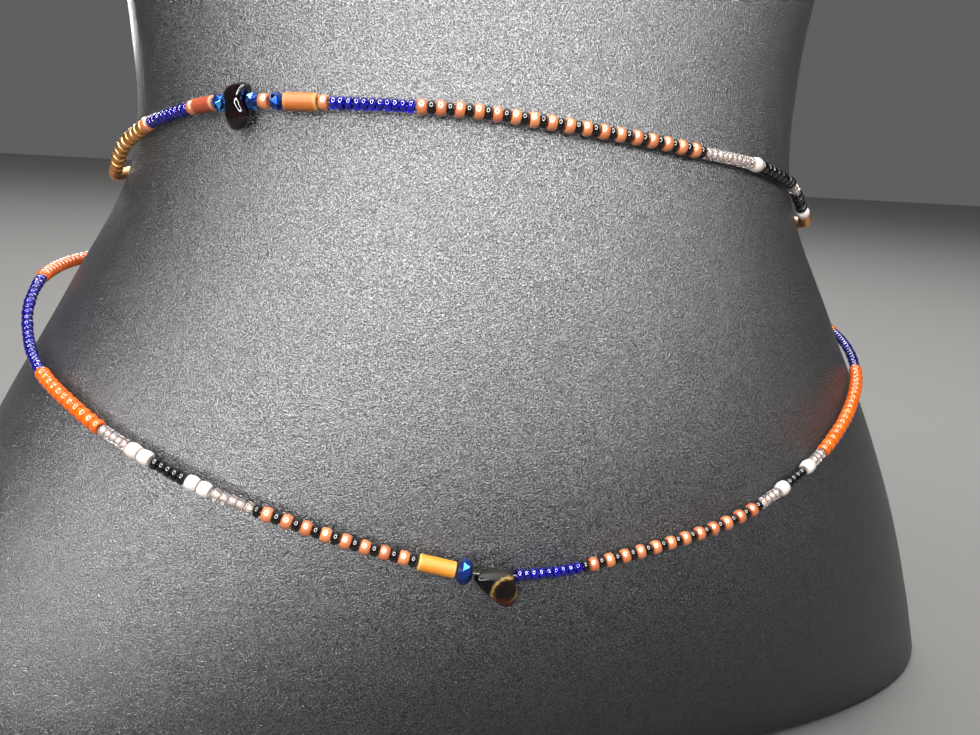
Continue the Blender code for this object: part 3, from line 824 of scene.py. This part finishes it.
# Painted glow: the base colour turns dark red towards the bottom of the chip, for light coming
# through its thin lower edge.
thin_edge_painted_glow = add_node(broken, "ShaderNodeMapRange", {},
                     {"Value": height.outputs["Y"], "From Min": -5.2, "From Max": -7.2})
beyond = add_node(broken, "ShaderNodeMapRange", {},
                  {"Value": span.outputs["Result"], "From Min": 0.54, "From Max": 0.6})
under = add_node(broken, "ShaderNodeMapRange", {},
                 {"Value": height.outputs["Y"], "From Min": 0.3, "From Max": -0.5,
                  "To Max": beyond.outputs["Result"]})
faced = add_node(broken, "ShaderNodeMixRGB", {},
                 {"Fac": under.outputs["Result"], "Color1": zones.outputs["Color"],
                  "Color2": linear("#060505")})
glassy = add_node(broken, "ShaderNodeMixRGB", {},
                  {"Fac": under.outputs["Result"], "Color1": polish.outputs["Color"],
                   "Color2": (0.06, 0.06, 0.06, 1.0)})
glow = add_node(broken, "ShaderNodeMixRGB", {},
                {"Fac": thin_edge_painted_glow.outputs["Result"], "Color1": faced.outputs["Color"],
                 "Color2": linear("#3A0E07")})
finish_shader(broken, shader, {
    "Base Color": glow.outputs["Color"], "Roughness": glassy.outputs["Color"], "IOR": 1.5,
    "Specular IOR Level": 0.22, "Normal": lift.outputs["Normal"]})

CHIPS = (
    ("upper_chip", UPPER_CHIP, UPPER_CHIP_HALF, smoky),
    ("lower_chip", LOWER_CHIP, LOWER_CHIP_HALF, broken),
)
for name, outline, half_thickness, material in CHIPS:
    strand, start, end = stations[name]
    middle_x = sum(x for x, _ in outline) / len(outline)
    middle_y = sum(y for _, y in outline) / len(outline)
    chip = bmesh.new()
    loops = []
    for spread, rise in CHIP_RINGS:
        ring = bmesh.ops.create_circle(chip, segments=len(outline), radius=1.0)["verts"]
        for vert, (x, y) in zip(ring, outline):
            vert.co = (middle_x + (x - middle_x) * spread, middle_y + (y - middle_y) * spread,
                       rise * half_thickness)
        loops.append(set(ring))
    for near, far in zip(loops, loops[1:]):
        ring = [edge for edge in chip.edges if set(edge.verts) <= near or set(edge.verts) <= far]
        bmesh.ops.bridge_loops(chip, edges=ring)
    bmesh.ops.holes_fill(chip, edges=[edge for edge in chip.edges if edge.is_boundary])
    bmesh.ops.recalc_face_normals(chip, faces=chip.faces)
    spot = chip.verts.layers.float_vector.new("place")
    for vert in chip.verts:
        vert[spot] = vert.co
    for face in chip.faces:
        face.smooth = True
    seat = strand.placing((start + end) / 2)
    bmesh.ops.transform(chip, matrix=seat @ Matrix.Scale(MM, 4), verts=chip.verts)
    stone = add_piece(name + "_stone", chip, [material], "stone_chip", name)
    rounding = stone.modifiers.new("rounding", "SUBSURF")
    rounding.levels = CHIP_ROUNDING
    rounding.render_levels = CHIP_ROUNDING


# The set: a plain pale paper floor, the camera where the photograph was taken from, and soft
# studio lamps around the part.
FLOOR_HALF = 6.0
floor_mesh = bmesh.new()
bmesh.ops.create_grid(floor_mesh, x_segments=1, y_segments=1, size=FLOOR_HALF)
floor_data = bpy.data.meshes.new("floor")
floor_mesh.to_mesh(floor_data)
floor_mesh.free()
floor = bpy.data.objects.new("floor", floor_data)
bpy.context.scene.collection.objects.link(floor)
floor_paper, shader = new_material("floor_paper")
finish_shader(floor_paper, shader, {"Base Color": linear("#B4B2AF"), "Roughness": 0.8})
floor_data.materials.append(floor_paper)

CAMERA_PLACE = (-0.0543, -0.3064, 0.1993)
CAMERA_YAW = 12.16              # degrees to the right of straight ahead
CAMERA_PITCH = 14.72            # degrees down
CAMERA_ROLL = 3.51              # degrees clockwise
FOCAL_PIXELS = 816              # focal length in pixels of the photograph
PHOTO_WIDTH = 980
SENSOR_WIDTH = 36.0
camera_data = bpy.data.cameras.new("camera")
camera_data.sensor_width = SENSOR_WIDTH
camera_data.lens = SENSOR_WIDTH * FOCAL_PIXELS / PHOTO_WIDTH
camera_data.clip_start = 10 * MM
camera = bpy.data.objects.new("camera", camera_data)
camera.matrix_world = (
    Matrix.Translation(CAMERA_PLACE)
    @ Matrix.Rotation(-math.radians(CAMERA_YAW), 4, "Z")
    @ Matrix.Rotation(math.radians(90 - CAMERA_PITCH), 4, "X")
    @ Matrix.Rotation(math.radians(CAMERA_ROLL), 4, "Z"))
bpy.context.scene.collection.objects.link(camera)
bpy.context.scene.camera = camera

WORLD_STRENGTH = 0.16
world = bpy.data.worlds.new("studio")
bpy.context.scene.world = world
world.use_nodes = True
world.node_tree.nodes["Background"].inputs["Color"].default_value = linear("#DCDDE0")
world.node_tree.nodes["Background"].inputs["Strength"].default_value = WORLD_STRENGTH
bpy.context.scene.view_settings.view_transform = "Standard"

# What the lamps light. All but the overhead one leave the floor out, because it would glare
# under them. The soft ones in front light the form alone, and leave the beads to the ring lamp.
worn = bpy.data.collections.new("form_and_strands")
for piece in bpy.context.scene.objects:
    if piece.type == "MESH" and piece != floor:
        worn.objects.link(piece)
form_alone = bpy.data.collections.new("form_alone")
form_alone.objects.link(display_form)


def soft_lamp(name, where, aim, size, watts, spread, lit=worn):
    """A square soft lamp that faces a point, with its beam in degrees and what it lights."""
    lamp = bpy.data.lights.new(name, "AREA")
    lamp.size = size
    lamp.energy = watts
    lamp.spread = math.radians(spread)
    holder = bpy.data.objects.new(name, lamp)
    holder.location = where
    holder.rotation_euler = (Vector(aim) - Vector(where)).to_track_quat("-Z", "Y").to_euler()
    holder.visible_camera = False
    if lit:
        holder.light_linking.receiver_collection = lit
    bpy.context.scene.collection.objects.link(holder)


# A ring lamp hangs in front, above the camera, and draws a small ring of light on every glossy
# bead. Softer lamps give the form its sheen, and light its back and the floor.
RING_RADIUS = 0.27
RING_LAMPS = 32
RING_CENTRE = Vector((-0.13, -0.36, 0.50))
RING_AIM = Vector((-0.02, -0.09, 0.17))
RING_WATTS = 3.7                # all its lamps together
RING_LAMP_SIZE = 0.05
RING_BEAM = 100
ring_turn = (RING_AIM - RING_CENTRE).to_track_quat("-Z", "Y").to_matrix().to_4x4()
for i in range(RING_LAMPS):
    angle = 2 * math.pi * i / RING_LAMPS
    out = Vector((math.cos(angle), math.sin(angle), 0)) * RING_RADIUS
    spot = Matrix.Translation(RING_CENTRE) @ ring_turn @ out
    soft_lamp("ring_lamp_%02d" % i, spot, RING_AIM, RING_LAMP_SIZE, RING_WATTS / RING_LAMPS,
              RING_BEAM)

LAMPS = (                       # name, place, aim, size in metres, watts, beam, what it lights
    ("front", (0.0, -0.59, 0.40), (0.0, -0.09, 0.20), 0.2, 0.62, 60, form_alone),
    ("right", (0.325, -0.451, 0.428), (0.03, -0.09, 0.28), 0.2, 0.5, 44, form_alone),
    ("left", (-0.315, -0.54, 0.15), (-0.06, -0.09, 0.14), 0.2, 0.35, 60, form_alone),
    ("low", (-0.43, -0.36, 0.07), (-0.13, -0.08, 0.03), 0.1, 0.7, 60, form_alone),
    ("back", (0.3, 1.1, 0.8), (0.0, 0.0, 0.25), 0.8, 2.0, 60),
    ("edge", (-0.34, 0.7, 0.38), (-0.1, 0.0, 0.24), 0.2, 0.25, 60),
    ("overhead", (0.0, 0.3, 2.2), (0.0, 0.3, 0.0), 2.0, 50.0, 180, None),
)
for lamp in LAMPS:
    soft_lamp(*lamp)
